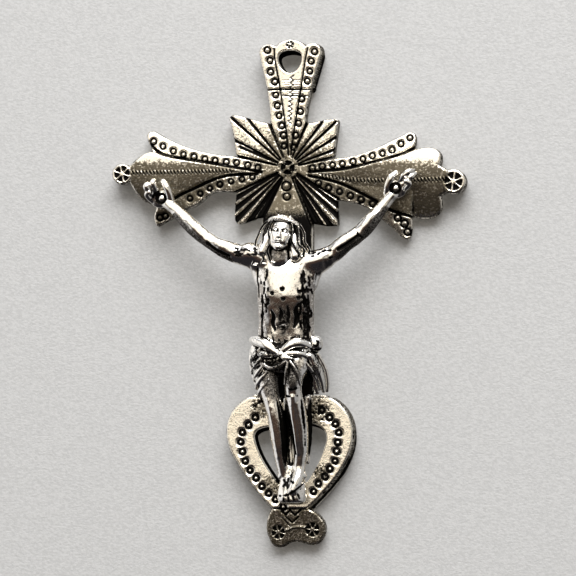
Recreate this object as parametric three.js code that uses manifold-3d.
// A cast silver crucifix pendant: a chased cross in four soldered pieces, the figure, two domed
// palm nails and a hidden rivet at the feet.
// Frame: millimetres, +Z up, the front faces -Y and the flat back lies in Y = 0.
// The origin is the centre of the hanging hole, on the back plane.
import * as THREE from "three";
import { mergeVertices } from "three/addons/utils/BufferGeometryUtils.js";
import Module from "manifold-3d";

const wasm = await Module();
wasm.setup();

// Driving dimensions.
const PLATE = 3.0; // thickness of every cross piece
const BEVEL = 0.3; // worn front edge
const LAP = 1.5; // depth of the half-lap joints
const SOLDER = 0.05; // film of solder between lapped faces
const CROWN = 0.7; // how far a leaf stands above its arm
const RAY_WIDTH = 0.55; // chased groove between two rays
const RAY_DEPTH = 0.6;
const TONGUE_SEAM = -4.8; // height of the seam across the top arm
const TONGUE_LAP = 2.6; // how far the tongue's tenon runs down behind the seam
const LOOP_SEAM = -58.4; // where the shaft stops in front and the loop begins
const LOOP_LAP = 3.4;
const FOOT_SEAM = -77.6; // where the loop stops in front and the foot begins
const FOOT_LAP = 3.4;
const BURST = [-0.2, -18.6]; // centre of the rays
const HOLE = { width: 4.2, top: 1.95, bottom: -2.1 };
const BORE = 1.6; // bores for the nails and the rivet
const SHANK = 1.0;
const NAIL_HEAD = 1.3;
const RECESS = { diameter: 2.1, depth: 0.6 };
const TAIL = { diameter: 1.8, bore: 2.4, depth: 0.6 };
const PALM_FRONT = -5.3; // Y of the palms' front faces
const HAND_BACK = -3.8; // Y where the hands rest on the crowned leaves
const FEET_BACK = -3.1; // Y where the feet rest on the loop
const PALM_NAILS = { left: [-22.0, -24.0], right: [19.0, -22.5] };
const FEET_RIVET = [1.2, -75.2];

// ---------------------------------------------------------------- helpers

function toSolid(geometry) {
  const bare = geometry.clone();
  bare.deleteAttribute("normal");
  bare.deleteAttribute("uv");
  const merged = mergeVertices(bare, 1e-5);
  return new wasm.Manifold(new wasm.Mesh({
    numProp: 3,
    vertProperties: new Float32Array(merged.attributes.position.array),
    triVerts: new Uint32Array(merged.index.array),
  }));
}

function toGeometry(solid) {
  const mesh = solid.getMesh();
  const geometry = new THREE.BufferGeometry();
  geometry.setAttribute("position", new THREE.BufferAttribute(mesh.vertProperties, 3));
  geometry.setIndex(new THREE.BufferAttribute(mesh.triVerts, 1));
  return geometry;
}

// Shapes are drawn in X and Z and stand on the back plane; this turns their depth towards -Y.
const STAND = new THREE.Matrix4().set(1, 0, 0, 0, 0, 0, -1, 0, 0, 1, 0, 0, 0, 0, 0, 1);

function plate(shape, from, to, bevel = 0) {
  const geometry = new THREE.ExtrudeGeometry(shape, {
    depth: to - from - bevel,
    bevelEnabled: false,
    curveSegments: 5,
  });
  geometry.translate(0, 0, from);
  geometry.applyMatrix4(STAND);
  if (bevel === 0) return toSolid(geometry);
  const edge = new THREE.ExtrudeGeometry(shape, {
    depth: bevel,
    bevelThickness: bevel,
    bevelSize: bevel,
    bevelOffset: -bevel,
    bevelSegments: 1,
    curveSegments: 5,
  });
  edge.translate(0, 0, to - 2 * bevel);
  edge.applyMatrix4(STAND);
  return toSolid(geometry).add(toSolid(edge));
}

// A closed outline through [x, z] corners; an entry of three pairs is a Bezier stretch to its last.
function outline(start, ...steps) {
  const shape = new THREE.Shape();
  shape.moveTo(...start);
  for (const step of steps) {
    if (Array.isArray(step[0])) shape.bezierCurveTo(...step.flat());
    else shape.lineTo(...step);
  }
  shape.closePath();
  return shape;
}

function disc([x, z], diameter, from, to, segments = 20) {
  const geometry = new THREE.CylinderGeometry(diameter / 2, diameter / 2, to - from, segments);
  geometry.translate(0, -(from + to) / 2, 0);
  geometry.translate(x, 0, z);
  return toSolid(geometry);
}

function box([x0, x1], [y0, y1], [z0, z1]) {
  const geometry = new THREE.BoxGeometry(x1 - x0, y1 - y0, z1 - z0);
  geometry.translate((x0 + x1) / 2, (y0 + y1) / 2, (z0 + z1) / 2);
  return toSolid(geometry);
}

// A V-shaped groove in the front face, from one [x, z] point to another.
function groove(start, end, width = RAY_WIDTH, depth = RAY_DEPTH, top = PLATE) {
  const run = new THREE.Vector2(end[0] - start[0], end[1] - start[1]);
  const section = new THREE.Shape();
  section.moveTo(0, -depth);
  section.lineTo(width, depth);
  section.lineTo(-width, depth);
  section.closePath();
  const geometry = new THREE.ExtrudeGeometry(section, { depth: run.length(), bevelEnabled: false });
  const along = new THREE.Vector3(run.x, 0, run.y).normalize();
  const outwards = new THREE.Vector3(0, -1, 0);
  const across = new THREE.Vector3().crossVectors(outwards, along);
  geometry.applyMatrix4(new THREE.Matrix4().makeBasis(across, outwards, along));
  geometry.translate(start[0], -top, start[1]);
  return toSolid(geometry);
}

// A limb with round ends between two [x, y, z] points, tapering from one radius to the other.
function limb(from, to, startRadius, endRadius, flatten = 1, segments = 10) {
  const a = new THREE.Vector3(...from);
  const b = new THREE.Vector3(...to);
  const length = a.distanceTo(b);
  const profile = [];
  const capSteps = 2;
  for (let i = 0; i <= capSteps; i += 1) {
    const angle = (Math.PI / 2) * (i / capSteps);
    profile.push(new THREE.Vector2(startRadius * Math.sin(angle), -startRadius * Math.cos(angle)));
  }
  for (let i = 0; i <= capSteps; i += 1) {
    const angle = (Math.PI / 2) * (i / capSteps);
    profile.push(new THREE.Vector2(endRadius * Math.cos(angle), length + endRadius * Math.sin(angle)));
  }
  profile[0].x = 0;
  profile[profile.length - 1].x = 0;
  const geometry = new THREE.LatheGeometry(profile, segments);
  geometry.scale(1, 1, flatten);
  const turn = new THREE.Quaternion().setFromUnitVectors(
    new THREE.Vector3(0, 1, 0),
    b.clone().sub(a).normalize(),
  );
  geometry.applyQuaternion(turn);
  geometry.translate(a.x, a.y, a.z);
  return toSolid(geometry);
}

function ball([x, y, z], [rx, ry, rz], widthSegments = 16, heightSegments = 10) {
  const geometry = new THREE.SphereGeometry(1, widthSegments, heightSegments);
  geometry.scale(rx, ry, rz);
  geometry.translate(x, y, z);
  return toSolid(geometry);
}

function joined(solids) {
  return solids.reduce((whole, solid) => whole.add(solid));
}

const silver = new THREE.MeshStandardMaterial({ color: 0xcfc6b4, roughness: 0.38, metalness: 1 });
const polished = new THREE.MeshStandardMaterial({ color: 0xe6e3dc, roughness: 0.14, metalness: 1 });
const nailSilver = new THREE.MeshStandardMaterial({ color: 0xd8d4c8, roughness: 0.22, metalness: 1 });

const pendant = new THREE.Group();

function addNode(name, solid, material) {
  const mesh = new THREE.Mesh(toGeometry(solid), material);
  mesh.name = name;
  pendant.add(mesh);
}

// ---------------------------------------------------------------- top arm with the hanging hole

function suspensionTongue() {
  const shape = outline(
    [3.8, TONGUE_SEAM], [5.5, 1.0],
    [[5.8, 3.4], [3.6, 3.4], [2.7, 2.6]],
    [[1.6, 4.1], [-1.4, 4.1], [-2.5, 2.6]],
    [[-3.6, 3.4], [-5.6, 3.0], [-5.4, 1.2]],
    [-4.0, TONGUE_SEAM],
  );
  const tenon = outline(
    [3.3, TONGUE_SEAM - TONGUE_LAP], [3.7, TONGUE_SEAM],
    [-3.9, TONGUE_SEAM], [-3.5, TONGUE_SEAM - TONGUE_LAP],
  );
  const half = HOLE.width / 2;
  const hole = outline(
    [0, HOLE.bottom],
    [[1.1, HOLE.bottom], [half, -0.6], [half, 0.5]],
    [[half, 1.6], [1.2, HOLE.top], [0, HOLE.top]],
    [[-1.2, HOLE.top], [-half, 1.6], [-half, 0.5]],
    [[-half, -0.6], [-1.1, HOLE.bottom], [0, HOLE.bottom]],
  );
  return plate(shape, 0, PLATE, BEVEL)
    .add(plate(tenon, 0, LAP))
    .subtract(plate(hole, -1, PLATE + 1))
    .subtract(groove([-2.7, 2.2], [-1.9, TONGUE_SEAM - 1], 0.25, 0.35))
    .subtract(groove([3.1, 2.2], [2.1, TONGUE_SEAM - 1], 0.25, 0.35));
}

// ---------------------------------------------------------------- arms, ray fans and shaft

function leaf(points, ridge) {
  const shape = outline(...points);
  return ridge.reduce(
    (whole, lift) => whole.add(plate(lift, PLATE - 1, PLATE + CROWN, CROWN * 0.7)),
    plate(shape, 0, PLATE, BEVEL),
  );
}

function leftArm() {
  const ribbons = outline(
    [-1, -18.0], [-9.6, -16.5],
    [[-14.6, -16.4], [-19.8, -14.6], [-23.8, -12.1]],
    [[-25.0, -11.5], [-25.9, -12.4], [-25.1, -13.8]],
    [-24.3, -15.5], [-24.0, -20.0], [-23.6, -25.6],
    [[-24.2, -26.6], [-24.2, -28.0], [-23.5, -28.7]],
    [-20.7, -27.2], [-18.2, -25.7],
    [[-15.2, -24.8], [-14.6, -22.7], [-12.6, -22.6]],
    [-9.8, -22.8], [-1, -19.4],
  );
  const leafPoints = [
    [-4, -19.0],
    [[-14.0, -17.3], [-21.0, -16.3], [-24.3, -15.7]],
    [[-26.0, -15.8], [-27.0, -16.9], [-28.3, -18.2]],
    [-28.3, -20.9],
    [[-27.6, -22.4], [-26.9, -24.2], [-24.2, -25.0]],
    [[-20.5, -24.6], [-17.0, -21.2], [-11.5, -19.9]],
  ];
  const ridge = outline(
    [-7, -19.1],
    [[-14.0, -17.9], [-20.0, -16.9], [-24.2, -16.4]],
    [[-25.8, -16.6], [-26.7, -17.6], [-27.6, -19.4]],
    [[-27.0, -22.4], [-26.2, -23.8], [-24.2, -24.2]],
    [[-20.5, -23.6], [-16.0, -20.6], [-11.5, -19.5]],
  );
  return plate(ribbons, 0, PLATE, BEVEL)
    .add(leaf(leafPoints, [ridge]))
    .add(disc([-29.6, -19.5], 3.6, 0, PLATE + 0.4, 28));
}

function rightArm() {
  const ribbons = outline(
    [1, -19.4], [8.6, -24.2], [12.1, -24.9], [14.2, -25.9], [16.3, -27.7],
    [[18.2, -29.0], [19.4, -31.0], [20.6, -31.1]],
    [[21.4, -30.9], [21.5, -29.2], [21.4, -27.0]],
    [22.0, -20.0], [21.8, -15.3],
    [[22.2, -14.0], [22.3, -12.3], [20.8, -12.6]],
    [[17.0, -14.3], [13.5, -16.8], [8.4, -17.0]],
    [1, -18.0],
  );
  const leafPoints = [
    [3, -19.4],
    [[12.0, -20.0], [15.0, -25.2], [21.4, -27.1]],
    [[24.4, -28.0], [27.1, -27.3], [26.8, -23.6]],
    [28.0, -21.2], [27.0, -18.6],
    [[26.8, -15.8], [25.4, -14.7], [22.2, -15.6]],
    [[19.0, -17.0], [13.0, -18.4], [8.0, -18.9]],
  ];
  const ridge = outline(
    [6, -19.6],
    [[13.0, -20.6], [16.0, -25.0], [21.4, -26.3]],
    [[24.2, -27.0], [26.3, -26.4], [26.1, -23.6]],
    [26.2, -18.8],
    [[26.0, -16.6], [24.9, -15.7], [22.4, -16.4]],
    [[19.0, -17.7], [13.0, -18.9], [8.0, -19.3]],
  );
  return plate(ribbons, 0, PLATE, BEVEL)
    .add(leaf(leafPoints, [ridge]))
    .add(disc([28.7, -21.2], 4.3, 0, PLATE + 0.4, 28));
}

function rayFans() {
  const upper = outline(
    [-3.3, -10.6], [-3.9, -10.8],
    [[-6.6, -10.4], [-8.4, -9.2], [-10.2, -9.3]],
    [-10.7, -9.7], [-9.9, -12.6], [-9.3, -16.6], [-4, -20], [3, -20],
    [7.8, -16.6], [8.2, -13.4], [8.6, -10.3],
    [[6.6, -9.9], [5.0, -10.9], [3.2, -10.9]],
    [2.8, -10.3], [3.5, TONGUE_SEAM - SOLDER], [-3.75, TONGUE_SEAM - SOLDER],
  );
  const lower = outline(
    [-4.7, -27.1],
    [[-6.5, -27.3], [-7.6, -28.4], [-9.2, -28.3]],
    [-9.7, -27.6], [-9.7, -26.0], [-9.4, -22.6], [-3, -17], [3, -17],
    [8.5, -23.6], [8.6, -28.7], [6.4, -28.7], [4.1, -28.2], [3.0, -30], [-3.0, -30],
  );
  const shaft = outline([-4.9, LOOP_SEAM], [4.2, LOOP_SEAM], [4.1, -26], [-4.7, -26]);
  const tenon = outline(
    [-4.0, LOOP_SEAM - LOOP_LAP], [3.4, LOOP_SEAM - LOOP_LAP], [3.4, -56], [-4.0, -56],
  );
  return plate(upper, 0, PLATE, BEVEL)
    .add(plate(lower, 0, PLATE, BEVEL))
    .add(plate(shaft, 0, PLATE, BEVEL))
    .add(plate(tenon, 0, LAP));
}

function rayGrooves() {
  const ends = [
    [-9.9, -9.9], [-7.2, -10.0], [-10.2, -13.6], [-9.6, -16.4], [-3.3, -11.2],
    [8.2, -10.8], [5.8, -10.9], [8.6, -13.9], [8.2, -16.6], [3.2, -11.2],
    [-9.8, -24.2], [-9.6, -26.9], [-7.9, -28.2], [-5.4, -27.4],
    [8.7, -25.4], [8.7, -27.3], [6.6, -28.9], [4.6, -28.4],
  ];
  return ends.map(([x, z]) => {
    const reach = Math.hypot(x - BURST[0], z - BURST[1]);
    const start = [BURST[0] + (1.9 * (x - BURST[0])) / reach, BURST[1] + (1.9 * (z - BURST[1])) / reach];
    return groove(start, [x, z]);
  });
}

function nailBore([x, z]) {
  return disc([x, z], BORE, -1, PLATE + 2).add(disc([x, z], TAIL.bore, -1, TAIL.depth));
}

function crossPlate() {
  const tongueSeat = box([-6, 6], [-(LAP + SOLDER), 1], [TONGUE_SEAM - TONGUE_LAP - SOLDER, 0]);
  return joined([rayFans(), leftArm(), rightArm()])
    .subtract(joined(rayGrooves()))
    .subtract(tongueSeat)
    .subtract(nailBore(PALM_NAILS.left))
    .subtract(nailBore(PALM_NAILS.right));
}

// ---------------------------------------------------------------- loop round the feet, and the foot

function heartLoop() {
  const seam = LOOP_SEAM - SOLDER;
  const outer = outline(
    [-6.4, seam],
    [[-11.6, -60.4], [-11.4, -66.6], [-8.8, -69.7]],
    [[-7.2, -72.2], [-4.8, -75.6], [-2.6, FOOT_SEAM]],
    [3.6, FOOT_SEAM],
    [[6.6, -74.8], [9.0, -72.0], [10.1, -69.7]],
    [[12.8, -64.4], [11.2, -59.9], [7.2, seam]],
  );
  const opening = outline(
    [-2.0, -63.3],
    [[-4.0, -63.5], [-6.4, -63.6], [-5.7, -66.0]],
    [[-5.0, -68.6], [-3.4, -70.8], [-1.7, -73.1]],
    [[-0.6, -73.8], [2.4, -73.8], [3.7, -72.8]],
    [[5.6, -70.0], [6.4, -67.8], [6.9, -65.8]],
    [[7.1, -63.6], [5.2, -62.9], [3.6, -62.7]],
  );
  const shaftSeat = box([-4.4, 3.8], [-(LAP + SOLDER), 1], [LOOP_SEAM - LOOP_LAP - SOLDER, LOOP_SEAM + 1]);
  const footSeat = box([-2.4, 3.4], [-(LAP + SOLDER), 1], [FOOT_SEAM - 1, FOOT_SEAM + FOOT_LAP + SOLDER]);
  return plate(outer, 0, PLATE, BEVEL)
    .subtract(plate(opening, -1, PLATE + 1))
    .subtract(shaftSeat)
    .subtract(footSeat)
    .subtract(disc(FEET_RIVET, BORE, -1, PLATE + 1));
}

function footFinial() {
  const seam = FOOT_SEAM - SOLDER;
  const shape = outline(
    [-2.6, seam],
    [[-3.6, -79.2], [-4.0, -81.2], [-3.3, -82.6]],
    [[-2.6, -85.2], [-0.6, -84.4], [0.2, -83.6]],
    [[1.8, -82.9], [3.0, -83.8], [4.2, -83.9]],
    [[6.6, -84.0], [7.4, -80.4], [5.9, -79.1]],
    [[5.2, -78.2], [4.6, -77.9], [3.6, seam]],
  );
  const tenon = outline(
    [-1.9, seam - 0.5], [2.9, seam - 0.5], [2.9, FOOT_SEAM + FOOT_LAP], [-1.9, FOOT_SEAM + FOOT_LAP],
  );
  return plate(shape, 0, PLATE, BEVEL)
    .add(plate(tenon, 0, LAP))
    .subtract(disc(FEET_RIVET, BORE, -1, PLATE + 1))
    .subtract(disc(FEET_RIVET, TAIL.bore, -1, TAIL.depth));
}

// ---------------------------------------------------------------- figure

function upperBody() {
  return joined([
    limb([0.3, -6.5, -46.6], [0.2, -6.9, -38.0], 4.3, 4.9, 0.52, 18),
    limb([-4.8, -6.6, -34.6], [5.4, -6.6, -34.4], 2.0, 2.0),
    limb([0.2, -7.0, -34.2], [0.0, -7.7, -31.4], 1.5, 1.5),
    ball([-0.2, -8.0, -30.4], [2.6, 2.8, 3.4]),
    limb([-1.9, -6.9, -29.7], [-3.4, -6.6, -34.2], 1.4, 1.2),
    limb([1.4, -6.9, -29.7], [3.5, -6.4, -33.8], 1.4, 1.2),
  ]);
}

function arm(shoulder, elbow, wrist, palm, fingertips) {
  const thickness = palm[1] - PALM_FRONT;
  return joined([
    limb(shoulder, elbow, 1.9, 1.45),
    limb(elbow, wrist, 1.45, 1.15),
    limb(wrist, palm, 1.15, thickness),
    ball(palm, [2.2, thickness, 2.5], 14, 8),
    limb(palm, fingertips, thickness, 0.9),
  ]);
}

function lowerBody() {
  return joined([
    ball([0.6, -6.4, -50.0], [6.3, 2.7, 4.0]),
    limb([-3.2, -6.3, -51.2], [-2.0, -6.6, -57.6], 2.4, 1.5),
    limb([4.7, -6.2, -50.6], [5.9, -6.0, -56.9], 2.2, 1.2),
    limb([-1.4, -6.8, -52.2], [-0.7, -8.0, -57.3], 2.4, 1.8),
    limb([-0.7, -8.0, -57.3], [0.1, -5.6, -70.9], 1.8, 1.2),
    limb([3.0, -6.8, -51.7], [2.1, -8.2, -56.5], 2.4, 1.8),
    limb([2.1, -8.2, -56.5], [2.4, -5.7, -70.7], 1.8, 1.2),
    ball([1.4, -4.8, -73.6], [2.4, 1.8, 2.9], 14, 8),
  ]);
}

function corpus() {
  const [leftNail, rightNail] = [PALM_NAILS.left, PALM_NAILS.right];
  const leftPalm = [leftNail[0] - 0.8, -4.3, leftNail[1] + 0.9];
  const rightPalm = [rightNail[0] + 0.7, -4.3, rightNail[1] + 0.7];
  const solid = joined([
    upperBody(),
    arm([-5.4, -6.6, -34.7], [-13.6, -6.6, -30.8], [-19.9, -5.4, -25.4], leftPalm, [-24.0, -4.4, -21.0]),
    arm([5.9, -6.6, -34.5], [13.4, -6.6, -29.8], [17.5, -5.4, -24.6], rightPalm, [21.5, -4.4, -19.4]),
    lowerBody(),
  ]);
  const waist = -45;
  const behindHands = box([-40, 40], [HAND_BACK, 5], [waist, 10]);
  const behindFeet = box([-40, 40], [FEET_BACK, 5], [-90, waist]);
  const nailHoles = [leftNail, rightNail].flatMap((centre) => [
    disc(centre, BORE, 0, 10),
    disc(centre, RECESS.diameter, -PALM_FRONT - RECESS.depth, 12),
  ]);
  return solid
    .subtract(behindHands)
    .subtract(behindFeet)
    .subtract(joined(nailHoles))
    .subtract(disc(FEET_RIVET, BORE, 0, 5.3));
}

// ---------------------------------------------------------------- nails and rivet

function turned([x, z], profile) {
  const points = profile.map(([radius, depth]) => new THREE.Vector2(radius, depth));
  const geometry = new THREE.LatheGeometry(points, 20);
  geometry.rotateX(Math.PI);
  geometry.translate(x, 0, z);
  return toSolid(geometry);
}

// Profiles run from the tail, flush with the back, to the domed head in the palm.
function palmNail(centre) {
  const seat = -PALM_FRONT - RECESS.depth + 0.3;
  const dome = [];
  const steps = 5;
  for (let i = 0; i <= steps; i += 1) {
    const angle = (Math.PI / 2) * (i / steps);
    const radius = i === steps ? 0 : (NAIL_HEAD / 2) * Math.cos(angle);
    dome.push([radius, seat + 0.55 * Math.sin(angle)]);
  }
  return turned(centre, [
    [0, 0.02], [TAIL.diameter / 2, 0.02], [SHANK / 2, TAIL.depth - 0.2], [SHANK / 2, seat], ...dome,
  ]);
}

function feetRivet() {
  return turned(FEET_RIVET, [
    [0, 0.02], [TAIL.diameter / 2, 0.02], [SHANK / 2, TAIL.depth - 0.2],
    [SHANK / 2, 4.8], [0, 5.0],
  ]);
}

addNode("cross_plate", crossPlate(), silver);
addNode("suspension_tongue", suspensionTongue(), silver);
addNode("heart_loop", heartLoop(), silver);
addNode("foot_finial", footFinial(), silver);
addNode("corpus", corpus(), polished);
addNode("left_palm_nail", palmNail(PALM_NAILS.left), nailSilver);
addNode("right_palm_nail", palmNail(PALM_NAILS.right), nailSilver);
addNode("feet_rivet", feetRivet(), nailSilver);

export default pendant;
